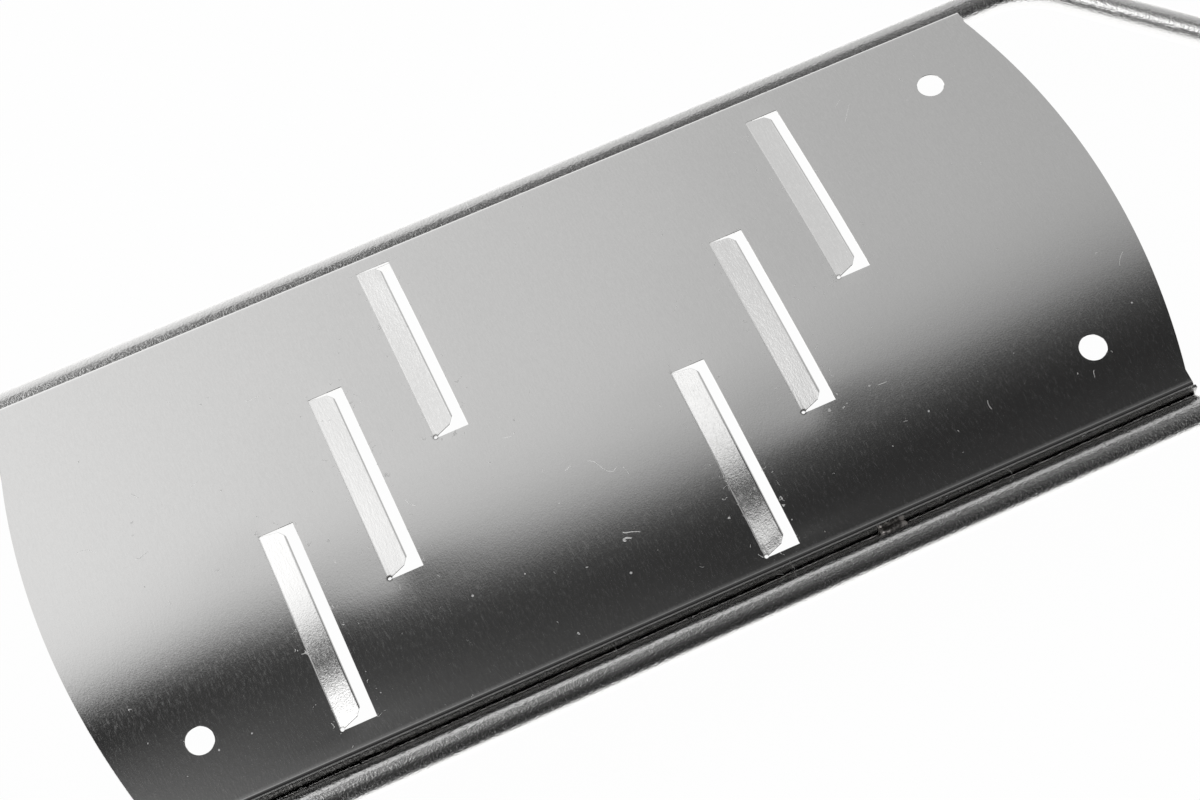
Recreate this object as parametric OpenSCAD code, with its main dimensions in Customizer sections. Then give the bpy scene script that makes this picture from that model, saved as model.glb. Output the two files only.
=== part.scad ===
// Hand-held slicing grater: an arched steel blade plate with six raised slicing lips,
// spot welded between the rails of a bent wire frame, with a moulded two-part handle.
// X runs along the tool from the tip to the handle, Y across it, and Z up from the table.
// The origin is under the middle of the tool, on the table that it stands on.

/* [Blade plate] */
// Length of the plate between the crowns of its two curved ends
blade_len = 149.4; // [130:0.2:170]
// Width of the plate over the outer faces of its two flanges
blade_w = 64.6; // [58:0.2:72]
// Thickness of the sheet
blade_t = 0.5; // [0.4:0.05:0.8]
// Height of the arch of the plate above its long edges
arch_rise = 1.9; // [1.2:0.1:3]
// Plan radius of the two curved ends
end_r = 110; // [90:1:140]
// Distance from each long edge where the end outline turns straight across
end_corner_w = 2.2; // [1.5:0.1:4]
// Outside radius of the bend between the plate and its flange
flange_bend_r = 0.9; // [0.8:0.05:1.4]
// Thinning of each face of the sheet where it is bent down
bend_thinning = 0.03; // [0.03:0.01:0.06]
// Height of each flange below the long edge of the plate
flange_h = 5; // [4.5:0.1:6]
// Reach of the flange ends past the corners of the plate
flange_reach = 0.7; // [0.2:0.1:1.5]
// Corner cut at the lower ends of the flanges
flange_corner = 1; // [0.5:0.1:2]

/* [Slicing slots] */
// Width of a slot, along the tool
slot_w = 4.67; // [4.4:0.01:5.5]
// Length of a slot, across the tool
slot_len = 28; // [24:0.1:29]
// Number of slots in a column
slot_rows = 3; // [2:1:3]
// Step between the slots of a column, across the tool
row_pitch = 15.55; // [14.5:0.05:16]
// Step between the slots of a column, along the tool
row_step = 12.7; // [10:0.1:14]
// Distance between the two columns of slots
column_pitch = 56.4; // [50:0.1:60]
// Sideways shift between the two columns
column_shift = 1.57; // [0:0.01:2.5]
// Distance of the middle of the pattern from the middle of the plate, towards the tip
pattern_offset = 2.15; // [0:0.05:4]
// Distance of the middle of the pattern from the middle of the plate, to the left of the user
pattern_side = 0.24; // [0:0.02:0.6]

/* [Slicing lips] */
// Width of a lip, from its fold to its cutting edge
lip_w = 3.1; // [2.6:0.05:3.3]
// Angle by which a lip is raised above the plate
lip_angle = 14.5; // [10:0.5:18]
// Thickness of a lip
lip_t = 0.42; // [0.3:0.02:0.44]
// Draw-in of each end of a lip at its cutting edge
lip_taper = 0.9; // [0.5:0.05:1.2]
// Corner cut at each end of the cutting edge
lip_corner = 0.6; // [0.3:0.05:1]
// Width of the ground bevel along the cutting edge
bevel_w = 0.4; // [0.2:0.05:0.6]
// Angle of the ground bevel, below the plane of the plate
bevel_angle = 12; // [5:1:20]
// Diameter of the relief hole at the near end of each fold
relief_d = 0.8; // [0.6:0.05:1]

/* [Plate holes] */
// Diameter of the three forming holes
hole_d = 3.6; // [3:0.1:4.5]
// Distance of the two holes at the handle end from the crown of that end
handle_hole_inset = 13.4; // [10:0.1:16]
// Distance of those two holes from the middle of the plate
handle_hole_y = 22.5; // [18:0.1:25]
// Distance of the single hole at the tip end from the crown of that end
tip_hole_inset = 13.2; // [10:0.1:16]
// Distance of that hole from the middle of the plate
tip_hole_y = 22.9; // [18:0.1:25]

/* [Wire frame] */
// Diameter of the wire
wire_d = 4.2; // [3.6:0.1:4.8]
// Depth of the middle of the wire below the long edge of the plate
seat_drop = 3.9; // [3.4:0.1:4.4]
// Gap between the flange and the rail, bridged by the welds
rail_gap = 0.05; // [0.02:0.01:0.1]
// Straight rail past the handle end of the plate
neck_run = 1.7; // [1:0.1:6]
// Radius of the neck bends, at the middle of the wire
neck_bend_r = 14; // [10:0.5:18]
// Angle of the neck bends
neck_angle = 45; // [35:1:55]
// Straight rail past the tip end of the plate
tip_run = 5.3; // [4.5:0.1:10]
// Radius of the downward bends at the tip
dip_bend_r = 8; // [6:0.5:10]
// Angle of the downward bends at the tip
dip_angle = 40; // [30:1:45]
// Straight wire between a downward bend and the corner after it
dip_run = 1.2; // [0.5:0.1:3]
// Radius of the two corners of the tip bar
tip_corner_r = 8; // [6:0.5:10]
// Extra diameter of the wire where it is bent
bend_swell = 0.06; // [0.05:0.01:0.12]

/* [Rail welds] */
// Distance of the handle-side welds from the middle of the plate
weld_handle_x = 27.8; // [15:0.2:60]
// Distance of the tip-side welds from the middle of the plate
weld_tip_x = 64; // [50:0.5:66]
// Length of a weld bead between the middles of its round ends
weld_len = 2.2; // [1:0.1:4]
// Diameter of a weld bead
weld_d = 1.7; // [1.4:0.1:2]
// Height of a weld bead above the middle of the wire
weld_rise = 1.25; // [1:0.05:1.5]

/* [Tip feet] */
// Diameter of the sleeve of a foot
foot_d = 8; // [7:0.1:8.6]
// Length of a foot along the tip bar
foot_len = 12; // [10:0.5:14]
// Width of the flat sole of a foot
sole_w = 5.8; // [4:0.1:7]
// Distance of the middle of each foot from the middle of the tool
foot_y = 19; // [15:0.5:19.5]
// Clearance all round between the wire and what it plugs into
wire_clear = 0.02; // [0.01:0.01:0.05]

/* [Handle] */
// Length of the handle
handle_len = 99; // [90:1:120]
// Gap between the end of the neck bends and the nose of the handle
handle_gap = 1; // [0.5:0.1:4]
// Distance between the two tangs of the wire inside the handle
tang_spacing = 15; // [13:0.1:16]
// Length of each tang inside the handle
tang_len = 38; // [30:1:45]
// Spare depth past the end of a tang in its socket
socket_spare = 0.5; // [0.2:0.1:2]
// Width of the hard core where the grip surrounds it
core_w = 22.4; // [21.5:0.1:23]
// Height of the hard core where the grip surrounds it
core_h = 9; // [7.5:0.1:12]
// Width of the handle at its nose
nose_w = 25; // [24.5:0.5:28]
// Height of the handle at its nose
nose_h = 13; // [10:0.5:18]
// Width of the handle at its shoulder
shoulder_w = 28; // [26:0.5:32]
// Height of the handle at its shoulder
shoulder_h = 20.5; // [18:0.5:24]
// Width of the handle at its waist
waist_w = 26.4; // [26:0.2:30]
// Height of the handle at its waist
waist_h = 19; // [16:0.5:23]
// Width of the handle at its palm swell
palm_w = 30; // [27:0.5:34]
// Height of the handle at its palm swell
palm_h = 24.4; // [22:0.2:28]
// Width of the handle at its tail
tail_w = 29; // [25:0.5:32]
// Height of the handle at its tail
tail_h = 11; // [9:0.5:16]
// Length of the hard nose in front of the grip
nose_len = 11; // [8:0.5:16]
// Length of the hard tail behind the grip
tail_len = 23; // [20:0.5:28]
// Distance of the shoulder behind the nose
shoulder_run = 9; // [6:0.5:12]
// Distance of the fullest part of the palm swell in front of the tail
palm_inset = 3; // [2:0.5:8]
// Length over which the front face of the nose is rounded
nose_round = 2.5; // [1:0.5:4]
// Diameter of the hanging hole
hang_d = 8; // [6:0.5:9]
// Distance of the hanging hole from the end of the handle
hang_inset = 11; // [9.5:0.5:13]

/* [Hidden] */
$fn = 48;
// Sides of the circles that the arch of the plate and its lips are turned from
arch_sides = 360;
// Sides of the circles that round the ends of the plate
outline_sides = 180;
// Overlap of a straight stretch of wire or sheet with the bends beside it
bend_lap = 0.05;
// Reach of a cutting shape past the surface that it cuts
over = 1;
// Reach of the outline of a lip past its cutting edge
edge_lap = 0.01;

// Heights: the handle's palm swell rests on the table, and the wire runs through its middle
wire_z = palm_h / 2;
edge_z = wire_z + seat_drop;
bar_drop = dip_bend_r * (1 - cos(dip_angle)) + (dip_run + tip_corner_r) * sin(dip_angle);
bar_z = wire_z - bar_drop;

// Places across the tool
flange_y = blade_w / 2;
rail_y = flange_y + rail_gap + wire_d / 2;
tang_y = tang_spacing / 2;

// Places along the tool, first counted from the middle of the plate
tip_bend_x = -blade_len / 2 - tip_run;
bar_x = tip_bend_x - dip_bend_r * sin(dip_angle) - (dip_run + tip_corner_r) * cos(dip_angle);
neck_x = blade_len / 2 + neck_run;
neck_side = rail_y - tang_y - 2 * neck_bend_r * (1 - cos(neck_angle));
neck_slant = neck_side / sin(neck_angle);
tang_x = neck_x + 2 * neck_bend_r * sin(neck_angle) + neck_slant * cos(neck_angle);
handle_x = tang_x + handle_gap;

// The middle of the plate lies where the whole tool is centred on the origin
tool_front = bar_x - foot_d / 2;
tool_back = handle_x + handle_len;
blade_x = -(tool_front + tool_back) / 2;

// Arch of the plate: its outer face is a cylinder through the crown and both long edges
arch_r = (flange_y * flange_y + arch_rise * arch_rise) / (2 * arch_rise);
arch_z = edge_z + arch_rise - arch_r;
bend_y = flange_y - flange_bend_r;
bend_turn = asin(bend_y / (arch_r - flange_bend_r));
bend_z = arch_z + (arch_r - flange_bend_r) * cos(bend_turn);
flange_low = edge_z - flange_h;

// End outline: arcs between the corner strips
corner_y = flange_y - end_corner_w;
end_sag = end_r - sqrt(end_r * end_r - corner_y * corner_y);
corner_x = blade_len / 2 - end_sag;

// Slots: middle of each, from the middle of the plate
function slot_x(column, row) =
  -pattern_offset + (column - 0.5) * column_pitch + ((slot_rows - 1) / 2 - row) * row_step;
function slot_y(column, row) =
  -pattern_side - (column - 0.5) * column_shift + ((slot_rows - 1) / 2 - row) * row_pitch;

// A straight run of the wire along +X, lapped into the bends before and after it,
// with what follows it put at its end
module wire_run(len, before = bend_lap, after = bend_lap) {
  translate([-before, 0, 0])
    rotate([0, 90, 0])
      cylinder(h = before + len + after, d = wire_d);
  translate([len, 0, 0])
    children();
}

// A bend of the wire from +X towards -Y, with what follows it put at its end
module wire_bend(r, angle) {
  translate([0, -r, 0]) {
    rotate([0, 0, 90 - angle])
      rotate_extrude(angle = angle)
        translate([r, 0])
          circle(d = wire_d + bend_swell);
    rotate([0, 0, -angle])
      translate([0, r, 0])
        children();
  }
}

// Cross-section of the formed sheet, in YZ: the arch and the bend down at each long edge
module sheet_section() {
  reach = arch_r * 1.1;
  lap_turn = bend_turn - 2 * bend_lap / flange_bend_r * 180 / PI;
  translate([0, arch_z])
    intersection() {
      difference() {
        circle(r = arch_r, $fn = arch_sides);
        circle(r = arch_r - blade_t, $fn = arch_sides);
      }
      polygon([
        [0, 0],
        [reach * sin(bend_turn), reach * cos(bend_turn)],
        [-reach * sin(bend_turn), reach * cos(bend_turn)]
      ]);
    }
  for (side = [-1, 1])
    translate([side * bend_y, bend_z])
      intersection() {
        difference() {
          circle(r = flange_bend_r - bend_thinning);
          circle(r = flange_bend_r - blade_t + bend_thinning);
        }
        polygon([
          [0, 0],
          [side * 2 * flange_bend_r * sin(lap_turn), 2 * flange_bend_r * cos(lap_turn)],
          [side * 2 * flange_bend_r, 2 * flange_bend_r],
          [side * 2 * flange_bend_r, 0]
        ]);
      }
}

// Side outline of a flange, in XZ: its ends reach past the plate and have cut corners
module flange_outline() {
  neck_end = corner_x - flange_reach / 2;
  flared_end = corner_x + flange_reach;
  tip_z = bend_z - flange_reach / 2;
  outline = [
    [neck_end, bend_z + bend_lap],
    [neck_end, tip_z],
    [flared_end, tip_z - flange_reach],
    [flared_end, flange_low + flange_corner],
    [flared_end - flange_corner, flange_low]
  ];
  last = len(outline) - 1;
  polygon(concat(outline, [for (i = [last : -1 : 0]) [-outline[i][0], outline[i][1]]]));
}

// Flat outline of the plate, seen from above
module plate_outline() {
  intersection() {
    translate([blade_len / 2 - end_r, 0])
      circle(r = end_r, $fn = outline_sides);
    translate([end_r - blade_len / 2, 0])
      circle(r = end_r, $fn = outline_sides);
  }
  square([2 * corner_x, blade_w + over], center = true);
}

// One slicing lip: a strip of the sheet raised about its fold and ground to a bevel, so that it
// stays round about the same axis as the arch. Its fold is on X = 0 and its middle on Y = y.
module lip(y) {
  half = slot_len / 2;
  bevel_x = lip_w - bevel_w;
  bevel_r = arch_r + bevel_x * tan(lip_angle);
  edge_r = bevel_r - bevel_w * tan(bevel_angle);
  under_r = arch_r + lip_w * tan(lip_angle) - lip_t;
  intersection() {
    translate([0, 0, arch_z])
      rotate([0, 90, 0])
        rotate_extrude($fn = arch_sides)
          polygon([
            [arch_r - lip_t, 0],
            [under_r, lip_w],
            [edge_r, lip_w],
            [bevel_r, bevel_x],
            [arch_r, 0]
          ]);
    translate([0, y, edge_z - over])
      linear_extrude(height = 2 * arch_rise + 2 * over)
        polygon([
          [-over, -half],
          [0, -half],
          [lip_w - lip_corner, -half + lip_taper * (1 - lip_corner / lip_w)],
          [lip_w + edge_lap, -half + lip_taper + lip_corner],
          [lip_w + edge_lap, half - lip_taper - lip_corner],
          [lip_w - lip_corner, half - lip_taper * (1 - lip_corner / lip_w)],
          [0, half],
          [-over, half]
        ]);
  }
}

module blade_plate() {
  color("gainsboro")
    translate([blade_x, 0, 0])
      difference() {
        union() {
          // Arched sheet with its slots
          difference() {
            intersection() {
              rotate([90, 0, 90])
                translate([0, 0, -blade_len / 2 - over])
                  linear_extrude(height = blade_len + 2 * over)
                    sheet_section();
              translate([0, 0, flange_low - over])
                linear_extrude(height = flange_h + arch_rise + 2 * over)
                  plate_outline();
            }
            for (column = [0, 1], row = [0 : slot_rows - 1])
              translate([
                slot_x(column, row) - slot_w / 2,
                slot_y(column, row) - slot_len / 2,
                edge_z - over
              ])
                cube([slot_w, slot_len, arch_rise + 2 * over]);
          }
          // Flanges
          for (y = [flange_y, -flange_y + blade_t])
            translate([0, y, 0])
              rotate([90, 0, 0])
                linear_extrude(height = blade_t)
                  flange_outline();
          // Lips
          for (column = [0, 1], row = [0 : slot_rows - 1])
            translate([slot_x(column, row) - slot_w / 2, 0, 0])
              lip(slot_y(column, row));
        }
        // Relief hole at the near end of each fold
        for (column = [0, 1], row = [0 : slot_rows - 1])
          translate([
            slot_x(column, row) - slot_w / 2,
            slot_y(column, row) - slot_len / 2,
            edge_z - over
          ])
            cylinder(h = arch_rise + 2 * over, d = relief_d);
        // Forming holes
        for (place = [
          [blade_len / 2 - handle_hole_inset, handle_hole_y],
          [blade_len / 2 - handle_hole_inset, -handle_hole_y],
          [tip_hole_inset - blade_len / 2, -tip_hole_y]
        ])
          translate([place[0], place[1], edge_z - over])
            cylinder(h = arch_rise + 2 * over, d = hole_d);
      }
}

// Half of the wire frame, on the +Y side, from the middle of the tip bar to the end of its tang
module wire_half() {
  translate([bar_x, 0, bar_z])
    rotate([0, -dip_angle, 0])
      rotate([0, 0, 90])
        wire_run(rail_y - tip_corner_r, 0)
          wire_bend(tip_corner_r, 90)
            wire_run(dip_run)
              rotate([90, 0, 0])
                wire_bend(dip_bend_r, dip_angle)
                  rotate([-90, 0, 0])
                    wire_run(neck_x - tip_bend_x)
                      wire_bend(neck_bend_r, neck_angle)
                        wire_run(neck_slant)
                          rotate([180, 0, 0])
                            wire_bend(neck_bend_r, neck_angle)
                              wire_run(handle_gap + tang_len, bend_lap, 0);
}

module frame_wire() {
  color("silver")
    translate([blade_x, 0, 0]) {
      wire_half();
      mirror([0, 1, 0])
        wire_half();
    }
}

// One weld bead lying in the groove between the flange and the rail, on the +Y side
module weld_bead() {
  bead_y = flange_y + weld_d / 4;
  difference() {
    translate([0, bead_y, wire_z + weld_rise]) {
      translate([-weld_len / 2, 0, 0])
        rotate([0, 90, 0])
          cylinder(h = weld_len, d = weld_d);
      for (end = [-1, 1])
        translate([end * weld_len / 2, 0, 0])
          sphere(d = weld_d);
    }
    translate([-weld_len, rail_y, wire_z])
      wire_run(2 * weld_len, 0, 0);
    translate([-weld_len, flange_y - weld_d, wire_z - weld_d])
      cube([2 * weld_len, weld_d, 4 * weld_d]);
  }
}

module rail_welds() {
  color("darkgray")
    for (x = [weld_handle_x, -weld_tip_x], side = [0, 1])
      translate([blade_x + x, 0, 0])
        mirror([0, side, 0])
          weld_bead();
}

// A rubber foot on the tip bar: a sleeve with a flat sole
module tip_foot(side) {
  color("dimgray")
    translate([blade_x + bar_x, side * foot_y, 0])
      difference() {
        union() {
          translate([0, -foot_len / 2, bar_z])
            rotate([-90, 0, 0])
              cylinder(h = foot_len, d = foot_d);
          translate([-sole_w / 2, -foot_len / 2, 0])
            cube([sole_w, foot_len, bar_z]);
        }
        translate([0, -foot_len / 2 - over, bar_z])
          rotate([-90, 0, 0])
            cylinder(h = foot_len + 2 * over, d = wire_d + 2 * wire_clear);
      }
}

module tip_foot_left() {
  tip_foot(-1);
}

module tip_foot_right() {
  tip_foot(1);
}

// Handle form: width and height ease from station to station along its length,
// the nose is rounded in front, and the tail closes in a half round.
grip_end = handle_len - tail_len;
shoulder_x = nose_len + shoulder_run;
palm_x = grip_end - palm_inset;
waist_x = (shoulder_x + palm_x) / 2;
tail_x = handle_len - nose_round;
// Power of the rounded cross-section: 2 is an ellipse, more is squarer
section_power = 2.6;
// Points round a cross-section
ring_sides = 32;
// Share of the width left at the flat end of the tail
tip_flat = 0.16;
// Share by which the front face of the nose draws in
nose_draw = 0.14;
// Place along the handle, width and height
stations = [
  [0, nose_w, nose_h],
  [shoulder_x, shoulder_w, shoulder_h],
  [waist_x, waist_w, waist_h],
  [palm_x, palm_w, palm_h],
  [tail_x, tail_w, tail_h],
  [handle_len, tail_w, tail_h]
];

function ease(a, b, t) = a + (b - a) * (1 - cos(180 * t)) / 2;
function stretch(x, i = 0) = (i == len(stations) - 2 || x <= stations[i + 1][0]) ? i : stretch(x, i + 1);
function eased(x, k) =
  let (i = stretch(x), a = stations[i], b = stations[i + 1])
  ease(a[k], b[k], min(1, (x - a[0]) / (b[0] - a[0])));
function nose_factor(x) =
  let (u = max(0, 1 - x / nose_round))
  1 - nose_draw + nose_draw * sqrt(1 - u * u);
function tail_factor(x) =
  let (u = max(0, (x - handle_len + tail_w / 2) / (tail_w / 2)))
  sqrt(max(tip_flat * tip_flat, 1 - u * u));
function half_w(x) = eased(x, 1) / 2 * nose_factor(x) * tail_factor(x);
function half_h(x) = eased(x, 2) / 2 * nose_factor(x) * pow(tail_factor(x), 0.5);
function bulge(c) = sign(c) * pow(abs(c), 2 / section_power);
function ring(x) = [
  for (i = [0 : ring_sides - 1])
    let (a = 360 * i / ring_sides)
    [x, half_w(x) * bulge(cos(a)), half_h(x) * bulge(sin(a))]
];

// Solid of the handle form through the rings at the given places
module handle_solid(places) {
  last = len(places) - 1;
  points = [for (x = places) each ring(x)];
  walls = [
    for (j = [0 : last - 1], i = [0 : ring_sides - 1])
      let (
        a = j * ring_sides + i,
        b = j * ring_sides + (i + 1) % ring_sides
      )
      each [[a, a + ring_sides, b], [b, a + ring_sides, b + ring_sides]]
  ];
  front = [for (i = [1 : ring_sides - 2]) [0, i, i + 1]];
  back = [for (i = [1 : ring_sides - 2]) [last * ring_sides, last * ring_sides + i + 1, last * ring_sides + i]];
  polyhedron(points = points, faces = concat(walls, front, back), convexity = 4);
}

// Places of the rings along the nose, the grip and the tail
nose_rings = [for (t = [0, 0.15, 0.4, 1]) t * nose_round];
nose_places = [each nose_rings, (nose_round + nose_len) / 2, nose_len];
waist_rings = 16;
palm_rings = 2;
tail_rings = 4;
tail_turn = 11.25;
grip_places = [
  each [for (i = [0 : waist_rings]) nose_len + (palm_x - nose_len) * i / waist_rings],
  each [for (i = [1 : palm_rings]) palm_x + (grip_end - palm_x) * i / palm_rings]
];
tail_places = [
  each [for (i = [0 : tail_rings - 1]) grip_end + (tail_len - tail_w / 2) * i / tail_rings],
  each [for (a = [0 : tail_turn : 90 - tail_turn]) handle_len - tail_w / 2 * (1 - sin(a))],
  handle_len
];

module handle_core() {
  color([0.12, 0.12, 0.13])
    translate([blade_x + handle_x, 0, wire_z])
      difference() {
        union() {
          handle_solid(nose_places);
          translate([nose_len, -core_w / 2, -core_h / 2])
            cube([grip_end - nose_len, core_w, core_h]);
          handle_solid(tail_places);
        }
        for (side = [-1, 1])
          translate([-over, side * tang_y, 0])
            rotate([0, 90, 0])
              cylinder(h = over + tang_len + socket_spare, d = wire_d + 2 * wire_clear);
        translate([handle_len - hang_inset, 0, -palm_h / 2])
          cylinder(h = palm_h, d = hang_d);
      }
}

module handle_grip() {
  color([0.2, 0.2, 0.21])
    translate([blade_x + handle_x, 0, wire_z])
      difference() {
        handle_solid(grip_places);
        translate([nose_len - over, -core_w / 2, -core_h / 2])
          cube([grip_end - nose_len + 2 * over, core_w, core_h]);
      }
}

blade_plate();
frame_wire();
rail_welds();
tip_foot_left();
tip_foot_right();
handle_core();
handle_grip();
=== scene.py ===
import bpy
import numpy as np
from mathutils import Matrix, Vector


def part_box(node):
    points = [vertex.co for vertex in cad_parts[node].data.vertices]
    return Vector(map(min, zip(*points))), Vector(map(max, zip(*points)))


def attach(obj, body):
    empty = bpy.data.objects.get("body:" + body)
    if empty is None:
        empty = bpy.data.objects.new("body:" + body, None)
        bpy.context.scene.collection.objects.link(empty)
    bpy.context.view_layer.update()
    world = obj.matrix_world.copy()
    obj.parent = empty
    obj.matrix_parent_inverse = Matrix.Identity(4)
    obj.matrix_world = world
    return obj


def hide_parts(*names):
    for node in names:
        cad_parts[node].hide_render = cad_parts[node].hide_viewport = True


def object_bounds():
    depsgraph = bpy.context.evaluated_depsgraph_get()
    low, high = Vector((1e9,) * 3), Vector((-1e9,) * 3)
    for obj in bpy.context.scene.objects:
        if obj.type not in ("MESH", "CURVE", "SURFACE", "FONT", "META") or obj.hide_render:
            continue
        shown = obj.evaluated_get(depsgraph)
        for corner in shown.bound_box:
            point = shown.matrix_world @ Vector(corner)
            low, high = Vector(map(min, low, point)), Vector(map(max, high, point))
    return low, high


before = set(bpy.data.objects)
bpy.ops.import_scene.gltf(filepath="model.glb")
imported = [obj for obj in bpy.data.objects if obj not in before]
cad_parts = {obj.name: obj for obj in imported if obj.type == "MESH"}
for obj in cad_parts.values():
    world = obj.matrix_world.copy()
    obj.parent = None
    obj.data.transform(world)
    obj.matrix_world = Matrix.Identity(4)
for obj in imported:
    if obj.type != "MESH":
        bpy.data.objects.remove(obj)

MM = 0.001
cad_low, cad_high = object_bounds()
root = "root"


# Setting
# A white table under soft white light. The room that the polished steel mirrors is bright on
# the far side, dim overhead and dark towards the viewer, with the table showing from below.
FLOOR_SIDE = 8.0
FLOOR_WHITE = (0.86, 0.86, 0.86, 1)
FLOOR_GLOW = 0.972
MIRRORED_FLOOR = 1.3
DARK_FLOOR = 0.08
WHITE_FLOOR_Y = -0.05
DARK_FLOOR_Y = -0.074
CAMERA_AT = (-0.105987, -0.158139, 0.325906)
CAMERA_RIGHT = (0.910798, -0.407716, -0.064924)
CAMERA_UP = (0.389316, 0.795846, 0.463749)
CAMERA_LENS = 81.779
CAMERA_CLIP = (0.01, 50)
SENSOR_WIDTH = 36.0
SOFT_FILL = 0.72
LAMP_POWER = 1.6
LAMP_SIDE = 0.9
LAMP_AT = (-0.35, 0.55, 1.0)


def put_camera():
    """Camera looking along the cross product of its up and right directions."""
    right = np.array(CAMERA_RIGHT)
    up = np.array(CAMERA_UP)
    right = right / np.linalg.norm(right)
    up = up - right * (up @ right)
    up = up / np.linalg.norm(up)
    back = np.cross(right, up)
    data = bpy.data.cameras.new("camera")
    data.lens = CAMERA_LENS
    data.sensor_width = SENSOR_WIDTH
    data.clip_start, data.clip_end = CAMERA_CLIP
    camera = bpy.data.objects.new("camera", data)
    bpy.context.scene.collection.objects.link(camera)
    turn = Matrix([list(row) for row in np.stack([right, up, back], axis=1)]).to_4x4()
    camera.matrix_world = Matrix.Translation(CAMERA_AT) @ turn
    bpy.context.scene.camera = camera


def mesh_object(name, points, *faces, material, crisp=180, corner_uv=None):
    """Mesh from an array of points in metres and arrays of faces, each array with its own number
    of corners. It is shaded smooth but for edges that turn by more than crisp degrees; corner_uv
    holds one pair for each corner of each face."""
    mesh = bpy.data.meshes.new(name)
    mesh.from_pydata(points.tolist(), [], [face for block in faces for face in block.tolist()])
    mesh.update()
    mesh.shade_smooth()
    if crisp < 180:
        mesh.set_sharp_from_angle(angle=np.radians(crisp))
    mesh.materials.append(material)
    if corner_uv is not None:
        layer = mesh.uv_layers.new(name="UVMap")
        layer.data.foreach_set("uv", corner_uv.astype(np.float32).ravel())
    made = bpy.data.objects.new(name, mesh)
    bpy.context.scene.collection.objects.link(made)
    return made


def feed(tree, socket, value):
    """Links a socket to another one, or sets it to a value."""
    if isinstance(value, bpy.types.NodeSocket):
        tree.links.new(value, socket)
    else:
        socket.default_value = value


def wire_up(tree, node, **values):
    """Feeds the named sockets of a node and gives the node back."""
    for key, value in values.items():
        feed(tree, node.inputs[key.replace("_", " ")], value)
    return node


def new_node(tree, kind, **values):
    """New shader node of this kind with the named sockets fed."""
    return wire_up(tree, tree.nodes.new("ShaderNode" + kind), **values)


def math_node(tree, operation, *values):
    """One arithmetic node; its operands are numbers or sockets."""
    node = new_node(tree, "Math")
    node.operation = operation
    for socket, value in zip(node.inputs, values):
        feed(tree, socket, value)
    return node.outputs[0]


def ramp_node(tree, value, stops):
    """A curve through (place, grey) stops, read at value."""
    node = new_node(tree, "ValToRGB")
    tree.links.new(value, node.inputs[0])
    elements = node.color_ramp.elements
    while len(elements) < len(stops):
        elements.new(1.0)
    for element, (place, grey) in zip(elements, stops):
        element.position = place
        element.color = (grey, grey, grey, 1)
    return node.outputs[0]


def mixed(tree, factor, a, b, colour=False):
    """Number, or colour, that goes from a to b as factor goes from 0 to 1."""
    node = new_node(tree, "Mix")
    node.data_type = "RGBA" if colour else "FLOAT"
    first = 6 if colour else 2
    for i, value in ((0, factor), (first, a), (first + 1, b)):
        feed(tree, node.inputs[i], value)
    return node.outputs[2 if colour else 0]


def axes(tree, vector):
    """The three parts of a vector."""
    return new_node(tree, "SeparateXYZ", Vector=vector).outputs


def floor_finish():
    """White table: plain diffuse, with a white glow for what the viewer, metal and glass see of
    it. In the metal the table is brighter than white near the tool and dark towards the viewer."""
    material = bpy.data.materials.new("floor_white")
    material.use_nodes = True
    tree = material.node_tree
    tree.nodes.clear()
    paint = new_node(tree, "BsdfDiffuse", Color=FLOOR_WHITE)
    path = new_node(tree, "LightPath").outputs
    seen = math_node(tree, "MAXIMUM", path["Is Camera Ray"], path["Is Glossy Ray"])
    seen = math_node(tree, "MAXIMUM", seen, path["Is Transmission Ray"])
    share = math_node(tree, "MULTIPLY", seen, FLOOR_GLOW)
    place = new_node(tree, "TexCoord").outputs["Object"]
    near = new_node(
        tree, "MapRange", Value=axes(tree, place)[1], From_Min=DARK_FLOOR_Y, From_Max=WHITE_FLOOR_Y,
        To_Min=DARK_FLOOR, To_Max=MIRRORED_FLOOR
    )
    near.interpolation_type = "SMOOTHSTEP"
    strength = mixed(tree, path["Is Glossy Ray"], 1.0, near.outputs[0])
    glow = new_node(tree, "Emission", Strength=strength)
    mix = new_node(tree, "MixShader")
    tree.links.new(share, mix.inputs[0])
    tree.links.new(paint.outputs[0], mix.inputs[1])
    tree.links.new(glow.outputs[0], mix.inputs[2])
    new_node(tree, "OutputMaterial", Surface=mix.outputs[0])
    return material


# Curves of the mirrored room. A direction has a lean, its part along the tool from -1 (tip) to 1
# (handle), and a turn about the tool in degrees, from -90 (far side) over 0 (up) to 90 (viewer).
# Other curves run over the turn from the edge of the bright far side. Each measure has its span.
EDGE_TURN = -22.0
EDGE_SPREAD = 6.0
LEAN, TURN, FROM_EDGE = 2, 180, 28


def curve(span, *pairs):
    """Stops of a curve over a measure that runs from -span / 2 to span / 2."""
    return tuple((0.5 + place / span, value) for place, value in pairs)


# Brightness of the far side, and how far its upper edge is off EDGE_TURN, as a share of EDGE_SPREAD
FAR_SIDE = curve(
    LEAN, (-1.0, 0.55), (-0.7, 0.7), (-0.58, 0.9), (-0.5, 1.5), (-0.44, 1.4), (-0.40, 1.13), (-0.37, 0.97),
    (-0.325, 0.87), (-0.31, 1.25), (-0.28, 1.4), (-0.262, 0.84), (-0.24, 0.8), (-0.19, 0.72),
    (-0.13, 0.885), (-0.08, 0.905), (0.0, 0.815), (0.08, 0.735), (0.16, 0.655), (0.24, 0.568),
    (0.32, 0.51), (0.42, 0.46), (0.6, 0.55), (0.8, 0.7), (1.0, 0.6)
)
EDGE_PLACE = curve(
    LEAN, (-0.45, 0.18), (-0.30, 0.74), (-0.25, 0.78), (-0.18, 0.5), (-0.08, 0.23), (0.0, 0.17),
    (0.08, 0.52), (0.16, 0.63), (0.24, 0.53), (0.32, 0.44)
)
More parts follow.
